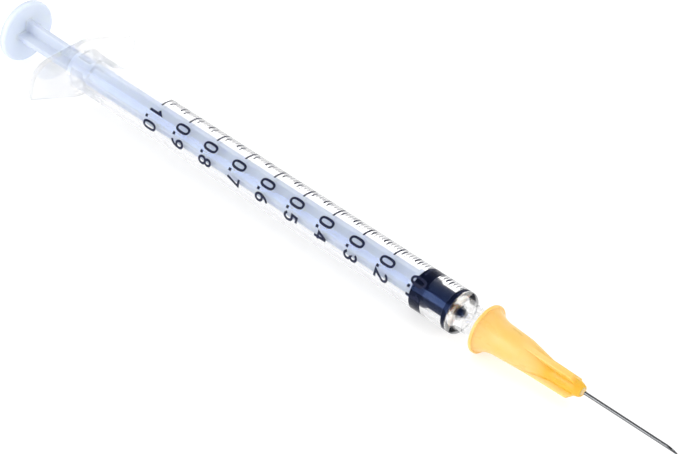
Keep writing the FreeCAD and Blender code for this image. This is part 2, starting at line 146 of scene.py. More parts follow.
def grid_faces(grid, loop_rows):
    """Vertices and faces of a grid of points, with its open ends closed by a face each."""
    rows, columns = grid.shape[:2]
    index = np.arange(rows * columns).reshape(rows, columns)
    near, far = (index, np.roll(index, -1, axis=0)) if loop_rows else (index[:-1], index[1:])
    quads = np.stack([near, np.roll(near, -1, 1), np.roll(far, -1, 1), far], axis=-1)
    faces = quads.reshape(-1, 4).tolist()
    if not loop_rows:
        faces += [index[0].tolist(), index[-1, ::-1].tolist()]
    return grid.reshape(-1, 3), faces


def make_piece(name, grids, material, body, stands_for=None):
    """One mesh of several grids, each given with whether its rows close on themselves."""
    vertices, faces, first = [], [], 0
    for grid, loop_rows in grids:
        points, quads = grid_faces(grid, loop_rows)
        vertices.append(points)
        faces += [[first + corner for corner in face] for face in quads]
        first += len(points)
    mesh = bpy.data.meshes.new(name)
    mesh.from_pydata(place(np.vstack(vertices)), [], faces)
    work = bmesh.new()
    work.from_mesh(mesh)
    bmesh.ops.remove_doubles(work, verts=work.verts, dist=1e-8)
    bmesh.ops.recalc_face_normals(work, faces=work.faces)
    work.to_mesh(mesh)
    work.free()
    mesh.shade_smooth()
    mesh.set_sharp_from_angle(angle=SHARP_ANGLE)
    mesh.materials.append(material)
    piece = bpy.data.objects.new(name, mesh)
    bpy.context.scene.collection.objects.link(piece)
    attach(piece, body)
    if stands_for:
        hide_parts(stands_for)
    return piece


# Finishes: nodes that read the piece's own coordinates

def plain_finish(name, colour, roughness, **sockets):
    """A material whose shader's own sockets hold every value that is the same all over."""
    material = bpy.data.materials.new(name)
    material.use_nodes = True
    shader = material.node_tree.nodes["Principled BSDF"]
    shader.inputs["Base Color"].default_value = (*colour, 1)
    shader.inputs["Roughness"].default_value = roughness
    for socket, value in sockets.items():
        shader.inputs[socket.replace("_", " ")].default_value = value
    return material


def add_noise(material, scale, detail=3.0, stretch=1.0):
    """Noise on Object coordinates, drawn out along the syringe's axis by a factor."""
    tree = material.node_tree
    place_node = tree.nodes.new("ShaderNodeTexCoord")
    turn = tree.nodes.new("ShaderNodeMapping")
    turn.vector_type = "TEXTURE"
    turn.inputs["Rotation"].default_value = (0, FALL_ANGLE, 0)
    turn.inputs["Scale"].default_value = (stretch, 1, 1)
    noise = tree.nodes.new("ShaderNodeTexNoise")
    noise.inputs["Scale"].default_value = scale
    noise.inputs["Detail"].default_value = detail
    tree.links.new(place_node.outputs["Object"], turn.inputs["Vector"])
    tree.links.new(turn.outputs["Vector"], noise.inputs["Vector"])
    return noise.outputs["Fac"]


def own_place(material):
    """The place along the syringe's axis and the distance from it, from Object coordinates."""
    tree = material.node_tree
    place_node = tree.nodes.new("ShaderNodeTexCoord")
    turn = tree.nodes.new("ShaderNodeMapping")
    turn.vector_type = "TEXTURE"
    turn.inputs["Location"].default_value = ZERO_LINE
    turn.inputs["Rotation"].default_value = (0, FALL_ANGLE, 0)
    parts = tree.nodes.new("ShaderNodeSeparateXYZ")
    flat = tree.nodes.new("ShaderNodeCombineXYZ")
    distance = tree.nodes.new("ShaderNodeVectorMath")
    distance.operation = "LENGTH"
    tree.links.new(place_node.outputs["Object"], turn.inputs["Vector"])
    tree.links.new(turn.outputs["Vector"], parts.inputs["Vector"])
    for axis in "YZ":
        tree.links.new(parts.outputs[axis], flat.inputs[axis])
    tree.links.new(flat.outputs["Vector"], distance.inputs[0])
    return parts.outputs["X"], distance.outputs["Value"]


def share_between(material, value, start, finish):
    """How far a length has come from a start to a finish in millimetres, from 0 to 1."""
    tree = material.node_tree
    spread = tree.nodes.new("ShaderNodeMapRange")
    spread.inputs["From Min"].default_value = start * MM
    spread.inputs["From Max"].default_value = finish * MM
    tree.links.new(value, spread.inputs["Value"])
    return spread.outputs["Result"]


def value_mix(tree, share_socket, first, second):
    """A number between two others, each a number or a socket."""
    mix = tree.nodes.new("ShaderNodeMix")
    mix.data_type = "FLOAT"
    tree.links.new(share_socket, mix.inputs["Factor"])
    for socket, value in (("A", first), ("B", second)):
        if isinstance(value, bpy.types.NodeSocket):
            tree.links.new(value, mix.inputs[socket])
        else:
            mix.inputs[socket].default_value = value
    return mix.outputs["Result"]


def vary_colour(material, noise, first, second, low=0.35, high=0.65):
    """Base colour that moves between two colours as the noise goes from low to high.

    Gives the ramp back, for a third colour.
    """
    tree = material.node_tree
    ramp = tree.nodes.new("ShaderNodeValToRGB")
    ramp.color_ramp.elements[0].position = low
    ramp.color_ramp.elements[0].color = (*first, 1)
    ramp.color_ramp.elements[1].position = high
    ramp.color_ramp.elements[1].color = (*second, 1)
    tree.links.new(noise, ramp.inputs["Fac"])
    tree.links.new(ramp.outputs["Color"], tree.nodes["Principled BSDF"].inputs["Base Color"])
    return ramp.color_ramp


def vary_roughness(material, noise, least, most):
    """Roughness that follows the noise."""
    tree = material.node_tree
    spread = tree.nodes.new("ShaderNodeMapRange")
    spread.inputs["From Min"].default_value = 0.3
    spread.inputs["From Max"].default_value = 0.7
    spread.inputs["To Min"].default_value = least
    spread.inputs["To Max"].default_value = most
    tree.links.new(noise, spread.inputs["Value"])
    tree.links.new(spread.outputs["Result"], tree.nodes["Principled BSDF"].inputs["Roughness"])


def add_relief(material, noise, height):
    """Surface relief that follows the noise, of a height in millimetres."""
    tree = material.node_tree
    bump = tree.nodes.new("ShaderNodeBump")
    bump.inputs["Distance"].default_value = height * MM
    bump.inputs["Strength"].default_value = 1.0
    tree.links.new(noise, bump.inputs["Height"])
    tree.links.new(bump.outputs["Normal"], tree.nodes["Principled BSDF"].inputs["Normal"])


# Settings

def length(name, description, value):
    """A size in metres, given here in millimetres."""
    return FloatProperty(name=name, description=description, default=value * MM, min=0,
                         subtype="DISTANCE", unit="LENGTH", precision=5)


def turn_angle(name, description, value):
    """An angle, given here in degrees."""
    return FloatProperty(name=name, description=description, default=math.radians(value),
                         subtype="ANGLE")


def tint(name, description, value):
    """A colour in linear light."""
    return FloatVectorProperty(name=name, description=description, default=value, size=3,
                               min=0, max=1, subtype="COLOR")


def share(name, description, value):
    """A number from 0 to 1."""
    return FloatProperty(name=name, description=description, default=value, min=0, max=1,
                         subtype="FACTOR")


class BarrelSettings(bpy.types.PropertyGroup):
    """Sizes and finish of the barrel."""
    diameter: length("Diameter", "Outside of the tube", 6.4)
    bore: length("Bore", "Inside of the tube", 4.7)
    flange_span: length("Flange span", "Finger flange from end to end", 20.8)
    flange_width: length("Flange width", "Finger flange across its middle", 9.7)
    flange_slope: turn_angle("Flange slope", "Slope of the flange's long sides", 12.73)
    sides: IntProperty(name="Sides", description="Points round the barrel", default=512, min=64)
    colour: tint("Colour", "Tint of the clear plastic", (0.985, 0.987, 0.998))
    gloss: tint("Gloss", "Strength of the reflections by colour", (0.12, 0.2, 0.5))
    roughness: share("Roughness", "Roughness of the clear plastic", 0.02)
    flange_body: share("Flange body", "How much of the thin clear flange is seen at all", 0.38)
    nozzle_body: share("Nozzle body", "How much of the clear nozzle is seen at all", 0.4)


class PrintSettings(bpy.types.PropertyGroup):
    """Sizes and colour of the printed scale."""
    line: length("Line", "Width of a long line", 0.28)
    fine_line: length("Fine line", "Width of a hundredth line", 0.10)
    digit_height: length("Digit height", "Height of a digit along the barrel", 2.6)
    digit_width: length("Digit width", "Width of a digit round the barrel", 1.46)
    stroke: length("Stroke", "Width of a digit's stroke", 0.40)
    thickness: length("Thickness", "Thickness of the ink", 0.01)
    colour: tint("Ink", "Colour of the ink", (0.010, 0.013, 0.036))


class RodSettings(bpy.types.PropertyGroup):
    """Sizes and colour of the plunger rod."""
    rib: length("Rib", "Thickness of a rib", 0.9)
    turn: turn_angle("Turn", "Turn of the ribs about the rod", 8.0)
    disc: length("Thumb disc", "Diameter of the thumb disc", 9.9)
    colour: tint("Colour", "Colour of the milky plastic", (0.60, 0.655, 0.76))
    shade: tint("Shade", "Denser places of the milky plastic", (0.55, 0.61, 0.73))
    # painted light: the paler colour of the disc's front stands for light coming through the thin
    # disc
    disc_colour: tint("Disc colour", "Colour of the thumb disc's front", (0.74, 0.81, 0.94))


class StopperSettings(bpy.types.PropertyGroup):
    """Sizes and colour of the stopper."""
    contact: length("Contact", "Diameter where the rubber wets the bore", 4.72)
    waist: length("Waist", "Diameter between the ribs", 3.85)
    colour: tint("Colour", "Colour of the rubber", (0.001, 0.002, 0.010))


class NeedleSettings(bpy.types.PropertyGroup):
    """Sizes and colours of the needle and its hub."""
    fin: length("Fin", "Thickness of a fin", 0.75)
    fin_turn: turn_angle("Fin turn", "Turn of the fins about the hub", 26.0)
    tube: length("Tube", "Outside of the needle tube", 0.5)
    tube_bore: length("Tube bore", "Inside of the needle tube", 0.26)
    bevel: turn_angle("Bevel", "Angle of the ground point", 12.0)
    hub_colour: tint("Hub", "Colour of the hub", (0.89, 0.605, 0.21))
    # random clouds move part way to this darker colour, and painted shade gives it in full to the
    # core between the fins towards the front
    hub_shade: tint("Hub shade", "Denser places of the hub", (0.82, 0.475, 0.03))
    steel: tint("Steel", "Colour of the steel", (0.21, 0.215, 0.225))


class StudioSettings(bpy.types.PropertyGroup):
    """Light, table and camera."""
    lens: FloatProperty(name="Lens", description="Focal length of the camera",
                        default=136.555, subtype="DISTANCE_CAMERA")
    sky: FloatProperty(name="Sky", description="Level of the light from all round",
                       default=1.0, min=0)
    behind: FloatProperty(name="Behind", description="The same light seen through clear plastic",
                          default=1.85, min=0)
    table: share("Table", "Brightness of the table's own white", 0.5)
    glow: share("Glow", "Light that the table gives of itself", 0.6)
    key: FloatProperty(name="Key lamp", description="Power of the low lamp in front",
                       default=2.9, min=0, unit="POWER")
    top: FloatProperty(name="Top lamp", description="Power of the lamp overhead",
                       default=0.8, min=0, unit="POWER")


class SyringeSettings(bpy.types.PropertyGroup):
    """Everything that can be changed before a piece is built."""
    barrel: PointerProperty(type=BarrelSettings)
    print: PointerProperty(type=PrintSettings)
    rod: PointerProperty(type=RodSettings)
    stopper: PointerProperty(type=StopperSettings)
    needle: PointerProperty(type=NeedleSettings)
    studio: PointerProperty(type=StudioSettings)


# Barrel

SHOULDER = 1.2
NOZZLE_TIP = 10.0
NOZZLE_RADIUS, NOZZLE_ROOT, PASSAGE = 2.0, 2.264, 0.85  # radii: tip, shoulder, inside
FLANGE_FRONT = -75.05
BARREL_BACK = -76.05
FLANGE_MIDDLE = 8.0  # rounding in the middle of the flange's long sides
FLANGE_WIDE, FLANGE_TIGHT = 3.2, 0.4  # roundings of the flange's corners, two of each
FLANGE_ROOT = 3.8  # the flange's outline starts to spread from the round here
FLANGE_FADE = (-73.0, -68.0)  # the flange is seen in part before this, the tube in full after
NOZZLE_FADE = (0.3, 0.6)  # the tube is seen in full before this, the nozzle in part after
LEAD_IN = 0.35  # slope at the barrel's mouth
BEAD = -72.4  # low ring inside, which keeps the stopper from being pulled out
INSIDE_BOX = 0.01  # how far the flange and the needle's point stay inside the solids


def flange_outline(angles, settings):
    """Distance from the axis to the flange's rim, read off its outline in fine steps.

    The long sides slope both ways from a rounded middle.  They would meet at half the width +
    the rounding * (1 / cosine of the slope - 1).  Of the corners two are wide and two are tight.
    """
    half_span = settings.flange_span / MM / 2 - INSIDE_BOX
    slope = settings.flange_slope
    half_width = settings.flange_width / MM / 2 - INSIDE_BOX
    apex = half_width + FLANGE_MIDDLE * (1 / math.cos(slope) - 1)
    end = apex - half_span * math.tan(slope)
    corners = rounded([
        (0, apex, FLANGE_MIDDLE),
        (half_span, end, FLANGE_TIGHT),
        (half_span, -end, FLANGE_WIDE),
        (0, -apex, FLANGE_MIDDLE),
        (-half_span, -end, FLANGE_TIGHT),
        (-half_span, end, FLANGE_WIDE),
    ], closed=True, steps=16)
    step = np.linspace(0, 1, 40, endpoint=False)[None, :, None]
    fine = corners[:, None] * (1 - step) + np.roll(corners, -1, 0)[:, None] * step
    aside, up = fine.reshape(-1, 2).T
    return np.interp(angles, np.arctan2(-aside, up), np.hypot(aside, up), period=2 * math.pi)


def barrel_grid(settings):
    """Closed profile of the tube, turned, with its outer rows spread to the flange's rim.

    A row's radius grows with its share of the way from the root to the rim by the difference
    between the rim at that angle and the rim at the flange's ends.
    """
    outer = settings.diameter / MM / 2
    bore = settings.bore / MM / 2
    rim = settings.flange_span / MM / 2
    profile = rounded([
        (NOZZLE_TIP, PASSAGE, 0.1),
        (NOZZLE_TIP, NOZZLE_RADIUS, 0.25),
        (SHOULDER, NOZZLE_ROOT, 0.2),
        (SHOULDER, outer, 0.5),
        (FLANGE_FRONT, outer, 0.55),
        (FLANGE_FRONT, rim, 0.3),
        (BARREL_BACK, rim, 0.3),
        (BARREL_BACK, bore + LEAD_IN, 0.12),
        (BARREL_BACK + LEAD_IN, bore, 0.12),
        (BEAD - 0.6, bore, 0.6),
        (BEAD, bore - 0.1, 0.6),
        (BEAD + 0.6, bore, 0.6),
        (0.1, bore, 0.05),
        (0.13, 1.1, 0.1),
        (1.1, PASSAGE, 0.15),
    ], closed=True)
    angles = even_angles(settings.sides)
    grid_out = np.broadcast_to(profile[:, 1:], (len(profile), len(angles)))
    spread = np.clip((grid_out - FLANGE_ROOT) / (rim - 0.8 - FLANGE_ROOT), 0, 1)
    grid_out = grid_out + spread * (flange_outline(angles, settings) - rim)
    return round_about(profile[:, :1], grid_out, angles[None])


def clear_plastic(settings):
    """Clear moulded plastic with the faint waviness that moulding leaves.

    The thin flange and the nozzle nearly vanish against white, so they are seen in part only.
    """
    material = plain_finish("clear_plastic", settings.colour, settings.roughness,
                            Transmission_Weight=1.0, IOR=1.49,
                            Specular_Tint=(*settings.gloss, 1.0))
    add_relief(material, add_noise(material, 260, 2.0, stretch=6.0), 0.006)
    along, _ = own_place(material)
    body = value_mix(material.node_tree, share_between(material, along, *FLANGE_FADE),
                     settings.flange_body, 1.0)
    body = value_mix(material.node_tree, share_between(material, along, *NOZZLE_FADE), body,
                     settings.nozzle_body)
    shader = material.node_tree.nodes["Principled BSDF"]
    material.node_tree.links.new(body, shader.inputs["Alpha"])
    return material


class SYRINGE_OT_barrel(bpy.types.Operator):
    """Clear barrel with its finger flange and nozzle"""
    bl_idname = "syringe.make_barrel"
    bl_label = "Barrel"

    def execute(self, context):
        settings = context.scene.syringe.barrel
        make_piece("barrel_clear", [(barrel_grid(settings), True)], clear_plastic(settings),
                   "barrel", "barrel")
        return {"FINISHED"}


# Printed scale

LONG_START, MIDDLE_START, SHORT_START, LINE_END = 22, 3, 0, -50  # angles of the lines' ends
POINT_ANGLE, WHOLE_ANGLE, TENTH_ANGLE = 67, 33.0, 74.5  # angles where the numbers stand


def arc_path(centre, radii, start, finish, count=20):
    """Points on an ellipse between two angles in degrees."""
    turn = np.radians(np.linspace(start, finish, count))
    return np.stack([centre[0] + radii[0] * np.cos(turn), centre[1] + radii[1] * np.sin(turn)], -1)


def digit_strokes(width, height):
    """Middle lines of the digits in a box of a width and height, and whether each closes."""
    middle = width / 2
    turn = even_angles(40)
    bend = 2 / 2.7  # a squarish oval: cosine and sine raised to this power
    oval = np.stack([
        middle + middle * np.sign(np.cos(turn)) * np.abs(np.cos(turn)) ** bend,
        height / 2 + height / 2 * np.sign(np.sin(turn)) * np.abs(np.sin(turn)) ** bend], -1)
    top, low = 0.25 * height, 0.27 * height
    six_bowl = arc_path((middle, low), (middle, low), 0, 342, 28)
    six_neck = arc_path((width * 1.05, low), (width * 1.05, height - low), 178, 104, 16)
    turned_round = np.array([width, height])
    return {
        "0": [(oval, True)],
        "1": [(np.array([(0.1 * width, 0.74 * height), (0.56 * width, height),
                         (0.56 * width, 0)]), False)],
        "2": [(np.vstack([arc_path((middle, height - top), (middle, top), 172, -28),
                          [(0, 0), (width, 0)]]), False)],
        "3": [(np.vstack([arc_path((middle, height - top), (middle * 0.92, top), 158, -78),
                          arc_path((middle, low), (middle, low * 0.96), 82, -158)]), False)],
        "4": [(np.array([(0.68 * width, 0), (0.68 * width, height)]), False),
              (np.array([(0.58 * width, height), (0, 0.32 * height),
                         (width, 0.32 * height)]), False)],
        "5": [(np.vstack([[(0.9 * width, height), (0.14 * width, height),
                           (0.06 * width, 0.58 * height)],
                          arc_path((middle, 0.31 * height), (middle, 0.31 * height), 118, -152)]),
               False)],
        "6": [(six_bowl, True), (six_neck, False)],
        "7": [(np.array([(0, height), (width, height), (0.36 * width, 0)]), False)],
        "8": [(arc_path((middle, height - top * 0.94), (middle * 0.86, top * 0.94), 0, 342, 28),
               True),
              (arc_path((middle, low), (middle, low), 0, 342, 28), True)],
        "9": [(turned_round - six_bowl, True), (turned_round - six_neck, False)],
    }


def wrapped_stroke(path, centre_angle, along, half_width, inner, outer, closed=False):
    """A stroke laid round the barrel as a thin band.

    The path's first number runs round the barrel from an angle, its second along it.  Each side
    is the path moved out by half the stroke along the mean of the normals of its two runs,
    divided by one plus their product, which keeps the stroke's width at a corner.
    """
    if closed:
        runs = np.roll(path, -1, 0) - path
        before, after = np.roll(runs, 1, 0), runs
    else:
        runs = np.diff(path, axis=0)
        before = np.vstack([runs[:1], runs])
        after = np.vstack([runs, runs[-1:]])
    normals = [np.stack([-run[:, 1], run[:, 0]], -1) / np.linalg.norm(run, axis=1)[:, None]
               for run in (before, after)]
    product = (normals[0] * normals[1]).sum(axis=1)[:, None]
    offset = half_width * (normals[0] + normals[1]) / (1 + product)
    rows = []
    for side, radius in ((1, outer), (-1, outer), (-1, inner), (1, inner)):
        edge = path + side * offset
        rows.append(round_about(along + edge[:, 1], radius, centre_angle + edge[:, 0] / outer))
    return np.stack(rows, axis=1)


def scale_grids(settings, barrel):
    """Lines at every hundredth, longer at twentieths and tenths, and a number at each tenth."""
    inner = barrel.diameter / MM / 2 + 0.003
    outer = inner + settings.thickness / MM
    grids = []
    for hundredth in range(101):
        along = -LITRE_STEP * hundredth / 100
        if hundredth % 10 == 0:
            start, half = LONG_START, settings.line / MM / 2
        elif hundredth % 5 == 0:
            start, half = MIDDLE_START, settings.line / MM / 2
        else:
            start, half = SHORT_START, settings.fine_line / MM / 2
        turn = np.radians(np.linspace(start, LINE_END, 16)) * outer
        path = np.stack([turn, np.zeros_like(turn)], -1)
        grids.append((wrapped_stroke(path, 0, along, half, inner, outer), False))

    stroke = settings.stroke / MM
    width = settings.digit_width / MM - stroke
    height = settings.digit_height / MM - stroke
    shapes = digit_strokes(width, height)
    foot = np.array([0, -height / 2])
    point = np.array([(0, -stroke / 2), (0, stroke * 0.7)])
    for tenth in range(1, 11):
        along = -LITRE_STEP * tenth / 10
        whole, part = divmod(tenth, 10)
        grids.append((wrapped_stroke(point + foot, math.radians(POINT_ANGLE), along, stroke * 0.58,
                                     inner, outer), False))
        for digit, first_angle in ((whole, WHOLE_ANGLE), (part, TENTH_ANGLE)):
            start = math.radians(first_angle) + stroke / 2 / outer
            for layer, (path, closed) in enumerate(shapes[str(digit)]):
                lift = layer * 0.001
                grids.append((wrapped_stroke(path + foot, start, along, stroke / 2,
                                             inner, outer + lift, closed), closed))
    return grids


class SYRINGE_OT_scale(bpy.types.Operator):
    """Lines and numbers printed on the barrel"""
    bl_idname = "syringe.make_scale"
    bl_label = "Printed scale"

    def execute(self, context):
        settings = context.scene.syringe.print
        ink = plain_finish("ink", settings.colour, 0.45, Specular_IOR_Level=0.15)
        worn = tuple(channel * 2.2 for channel in settings.colour)
        vary_colour(ink, add_noise(ink, 4200, 2.0), settings.colour, worn, 0.45, 0.7)
        vary_roughness(ink, add_noise(ink, 2600, 2.0), 0.35, 0.6)
        make_piece("scale_print", scale_grids(settings, context.scene.syringe.barrel), ink,
                   "barrel")
        return {"FINISHED"}


# Plunger rod

COLLAR_BACK = -7.55
DISC_FRONT = -87.75
DISC_BACK = -89.05
COLLAR_FRONT, HEAD_BACK, HEAD_FRONT = -6.75, -5.15, -2.95
COLLAR_RADIUS, NECK_RADIUS = 2.15, 0.8


def cross_grid(settings):
    """Section of two crossed ribs, carried along the axis.

    In the frame of one arm the outline runs round a tip with rounded edges and down to a hollow
    corner, and the next arm is the same a quarter turn on.  The arms' reach changes along the
    rod, and at the disc both reach and thickness grow a little.
    """
    along = np.concatenate([
        np.linspace(COLLAR_BACK + 0.1, BARREL_BACK, 40),
        np.linspace(BARREL_BACK - 0.3, DISC_FRONT + 0.5, 20),
        np.linspace(DISC_FRONT + 0.3, DISC_FRONT - 0.1, 6),
    ])
    reach = np.interp(along, [DISC_FRONT, BARREL_BACK, COLLAR_BACK], [2.3, 2.1, 2.05])
    flare = 1.5 * np.clip(DISC_FRONT + 0.3 - along, 0, 0.4) ** 2
    reach = (reach + flare)[:, None]
    half = (settings.rib / MM / 2 + flare)[:, None]
    edge, hollow = 0.22, 0.2
    rise, fall, dip = (np.radians(np.linspace(*ends, 7))
                       for ends in ((180, 90), (90, 0), (180, 270)))
    across = np.hstack([
        edge - half + edge * np.cos(rise),
        half - edge + edge * np.cos(fall),
        half + hollow + hollow * np.cos(dip),
    ])
    outward = np.hstack([
        reach - edge + edge * np.sin(rise),
        reach - edge + edge * np.sin(fall),
        half + hollow + hollow * np.sin(dip),
    ])
    arms = []
    for quarter in range(4):
        angle = settings.turn + quarter * math.pi / 2
        arms.append(np.stack([
            np.broadcast_to(along[:, None], across.shape),
            -outward * math.sin(angle) - across * math.cos(angle),
            outward * math.cos(angle) - across * math.sin(angle)], axis=-1))
    return np.concatenate(arms, axis=1)


def rod_grids(settings):
    """Crossed ribs, thumb disc, and the collar, neck and head inside the stopper."""
    angles = even_angles(128)
    disc = settings.disc / MM / 2
    plate = rounded([
        (DISC_BACK, 0, 0),
        (DISC_BACK, disc, 0.4),
        (DISC_FRONT, disc, 0.4),
        (DISC_FRONT, 0, 0),
    ], steps=8)
    head = rounded([
        (COLLAR_BACK, 0, 0),
        (COLLAR_BACK, COLLAR_RADIUS, 0.15),
        (COLLAR_FRONT, COLLAR_RADIUS, 0.15),
        (COLLAR_FRONT, NECK_RADIUS, 0.08),
        (HEAD_BACK, NECK_RADIUS, 0.05),
        (HEAD_BACK, 1.25, 0.12),
        (HEAD_FRONT, 0.6, 0.15),
        (HEAD_FRONT, 0, 0),
    ])
    return [(cross_grid(settings), False), (turned(plate, angles), False),
            (turned(head, angles), False)]


def milky_plastic(settings):
    """Milky plastic that lets light in, with soft clouds and a fine moulded skin.

    The thumb disc's front is given a paler colour: painted light that stands for the light coming
    through the thin disc.
    """
    material = plain_finish("milky_plastic", settings.colour, 0.35, IOR=1.47,
                            Subsurface_Weight=0.5,
                            Subsurface_Radius=(0.0002, 0.0002, 0.0003), Subsurface_Scale=1.0)
    clouds = add_noise(material, 170, 3.0, stretch=3.0)
    along, _ = own_place(material)
    tree = material.node_tree
    painted_light_stop = 0.1  # where the painted light of the disc's front stands on the ramp
    # painted light: the disc's front band gets the paler colour, and the back of the disc gets the
    # clouds again
    front = share_between(material, along, DISC_FRONT + 0.55, DISC_FRONT - 0.05)
    back = share_between(material, along, DISC_FRONT - 0.45, DISC_BACK + 0.15)
    clouds_and_painted_light = value_mix(tree, back, value_mix(tree, front, clouds, painted_light_stop), clouds)
    ramp = vary_colour(material, clouds_and_painted_light, settings.colour, settings.shade)
    ramp.elements.new(painted_light_stop).color = (*settings.disc_colour, 1)
    vary_roughness(material, add_noise(material, 700, 3.0, stretch=4.0), 0.3, 0.42)
    add_relief(material, add_noise(material, 500, 2.0, stretch=8.0), 0.004)
    return material


class SYRINGE_OT_rod(bpy.types.Operator):
    """Cross-ribbed plunger rod with its thumb disc"""
    bl_idname = "syringe.make_rod"
    bl_label = "Plunger rod"

    def execute(self, context):
        settings = context.scene.syringe.rod
        make_piece("plunger_rod_milky", rod_grids(settings), milky_plastic(settings),
                   "plunger", "plunger_rod")
        return {"FINISHED"}


# Stopper

def stopper_grid(settings):
    """Profile of the rubber from the bottom of its pocket round to its front cone, turned."""
    contact = settings.contact / MM / 2
    waist = settings.waist / MM / 2
    profile = rounded([
        (-2.9, 0, 0),
        (-2.9, 0.65, 0.1),
        (-5.2, 1.3, 0.08),
        (-5.2, 0.85, 0.05),
        (STOPPER_BACK, 0.85, 0.1),
        (STOPPER_BACK, contact, 0.2),
        (-4.5, contact, 0.12),
        (-4.15, waist, 0.25),
        (-1.05, waist, 0.25),
        (-0.72, contact, 0.12),
        (0.0, contact, 0.08),
        (0.03, 0.95, 0.05),
        (1.35, 0.62, 0.15),
        (1.35, 0, 0),
    ])
    return turned(profile, even_angles(192))


class SYRINGE_OT_stopper(bpy.types.Operator):
    """Rubber stopper with its two sealing ribs"""
    bl_idname = "syringe.make_stopper"
    bl_label = "Stopper"

    def execute(self, context):
        settings = context.scene.syringe.stopper
        rubber = plain_finish("rubber", settings.colour, 0.4, Specular_IOR_Level=0.015,
                              Specular_Tint=(0.55, 0.78, 1.0, 1.0))
        worn = tuple(channel * 1.6 for channel in settings.colour)
        vary_colour(rubber, add_noise(rubber, 900, 4.0), settings.colour, worn)
        vary_roughness(rubber, add_noise(rubber, 1600, 3.0), 0.32, 0.5)
        add_relief(rubber, add_noise(rubber, 2500, 2.0), 0.002)
        make_piece("stopper_rubber", [(stopper_grid(settings), False)], rubber,
                   "stopper", "stopper")
        return {"FINISHED"}


# Needle hub

HUB_BACK, LIP_FRONT, FLARE_FRONT, HUB_FRONT = 4.95, 5.45, 8.3, 22.0
HUB_RIM, SOCKET_MOUTH, WELL, NEEDLE_HOLE = 3.695, 2.1815, 0.55, 0.27  # radii
FINS, FIN_BACK, FIN_FRONT = 3, 11.5, 21.0


def flare_corners(count=14):
    """Arc from the step behind the lip, level where it meets the waist."""
    back, front, high, low = LIP_FRONT, FLARE_FRONT, 3.4, 2.43
    radius = ((front - back) ** 2 + (high - low) ** 2) / (2 * (high - low))
    along = np.linspace(back, front, count)
    out = low + radius - np.sqrt(radius ** 2 - (front - along) ** 2)
    return [(x, r, 0) for x, r in zip(along, out)]


def fin_angles(settings):
    """Angles round the hub, close together at the sides of each fin."""
    half = np.concatenate([np.linspace(0, 7, 6), np.linspace(7.3, 22, 48),
                           np.linspace(23.5, 60, 17)])
    one = np.radians(np.concatenate([-half[:0:-1], half[:-1]]))
    return (settings.fin_turn + one[None] + even_angles(FINS)[:, None]).ravel(), np.tile(one, FINS)


def hub_grid(settings):
    """Closed profile of the hub, turned, with its outer rows raised to the fins.

    A fin's side stands half its thickness from the plane through the axis, so it is at
    half thickness / sine of the angle from the fin's middle, up to the fin's tip.  The larger
    of core and fin counts, eased over a width that makes the hollow at the fin's foot.
    """
    outside = rounded([
        (HUB_BACK, SOCKET_MOUTH, 0.1),
        (HUB_BACK, HUB_RIM, 0.17),
        (LIP_FRONT, HUB_RIM, 0.17),
        *flare_corners(),
        (12.0, 2.22, 8.0),
        (17.0, 1.25, 8.0),
        (21.1, 1.15, 1.2),
        (HUB_FRONT, 0.85, 0.2),
        (HUB_FRONT, WELL, 0.06),
    ], steps=10)
    walls = (outside[:, 0] > 8.4) & (outside[:, 0] < 21.2) & (outside[:, 1] > 1.1)
    wall = outside[walls]
    first = np.argmax(walls)
    back_part, front_part = outside[:first], outside[first + len(wall):]
    along = np.concatenate([np.linspace(wall[0, 0], 11.9, 14), np.linspace(12.1, 14.5, 25),
                            np.linspace(14.8, 19.8, 16), np.linspace(20.0, wall[-1, 0], 22)])
    wall = np.stack([along, np.interp(along, wall[:, 0], wall[:, 1])], axis=-1)
    inside = rounded([
        (HUB_FRONT, WELL, 0),
        (21.2, WELL, 0.1),
        (20.4, NEEDLE_HOLE, 0.05),
        (11.55, NEEDLE_HOLE, 0.1),
        (10.25, 2.0225, 0.15),
        (HUB_BACK, SOCKET_MOUTH, 0),
    ])[1:-1]
    angles, from_fin = fin_angles(settings)
    tip = np.interp(along, [FIN_BACK - 0.6, FIN_BACK, FIN_FRONT - 0.8, FIN_FRONT, FIN_FRONT + 0.3],
                    [1.0, 2.19, 1.99, 1.15, 0.5])[:, None]
    side = settings.fin / MM / 2 / np.abs(np.sin(from_fin)).clip(0.02)
    fin = smaller(tip / np.cos(from_fin)[None], np.broadcast_to(side, (len(wall), len(side))), 0.08)
    foot = np.interp(along, [FIN_BACK, 14.0], [0.01, 0.14])[:, None]
    raised = larger(np.broadcast_to(wall[:, 1:], fin.shape), fin, foot)
    parts = [turned(back_part, angles), round_about(wall[:, :1], raised, angles[None]),
             turned(front_part, angles), turned(inside, angles)]
    return np.concatenate(parts)


def amber_plastic(settings):
    """Amber plastic that lets light in, with random clouds, and a painted shade: the full darker
    colour on the thick core between the fins towards the front.
    """
    material = plain_finish("amber_plastic", settings.hub_colour, 0.3, IOR=1.49,
                            Subsurface_Weight=0.85,
                            Subsurface_Radius=(0.0005, 0.0004, 0.0003), Subsurface_Scale=1.0)
    clouds = add_noise(material, 260, 3.0, stretch=2.0)
    along, from_axis = own_place(material)
    # painted shade: towards the front the colour goes to the full darker colour, except away from
    # the core, so the core between the fins is darker
    clouds_and_painted_shade = value_mix(material.node_tree, share_between(material, along, 9.0, 16.5), clouds, 1.0)
    thin = share_between(material, from_axis, 1.3, 2.1)
    clouds_and_painted_shade = value_mix(material.node_tree, thin, clouds_and_painted_shade, clouds)
    vary_colour(material, clouds_and_painted_shade, settings.hub_colour, settings.hub_shade, 0.4, 1.0)
    vary_roughness(material, add_noise(material, 900, 3.0, stretch=3.0), 0.24, 0.38)
    add_relief(material, add_noise(material, 500, 2.0, stretch=4.0), 0.004)
    return material


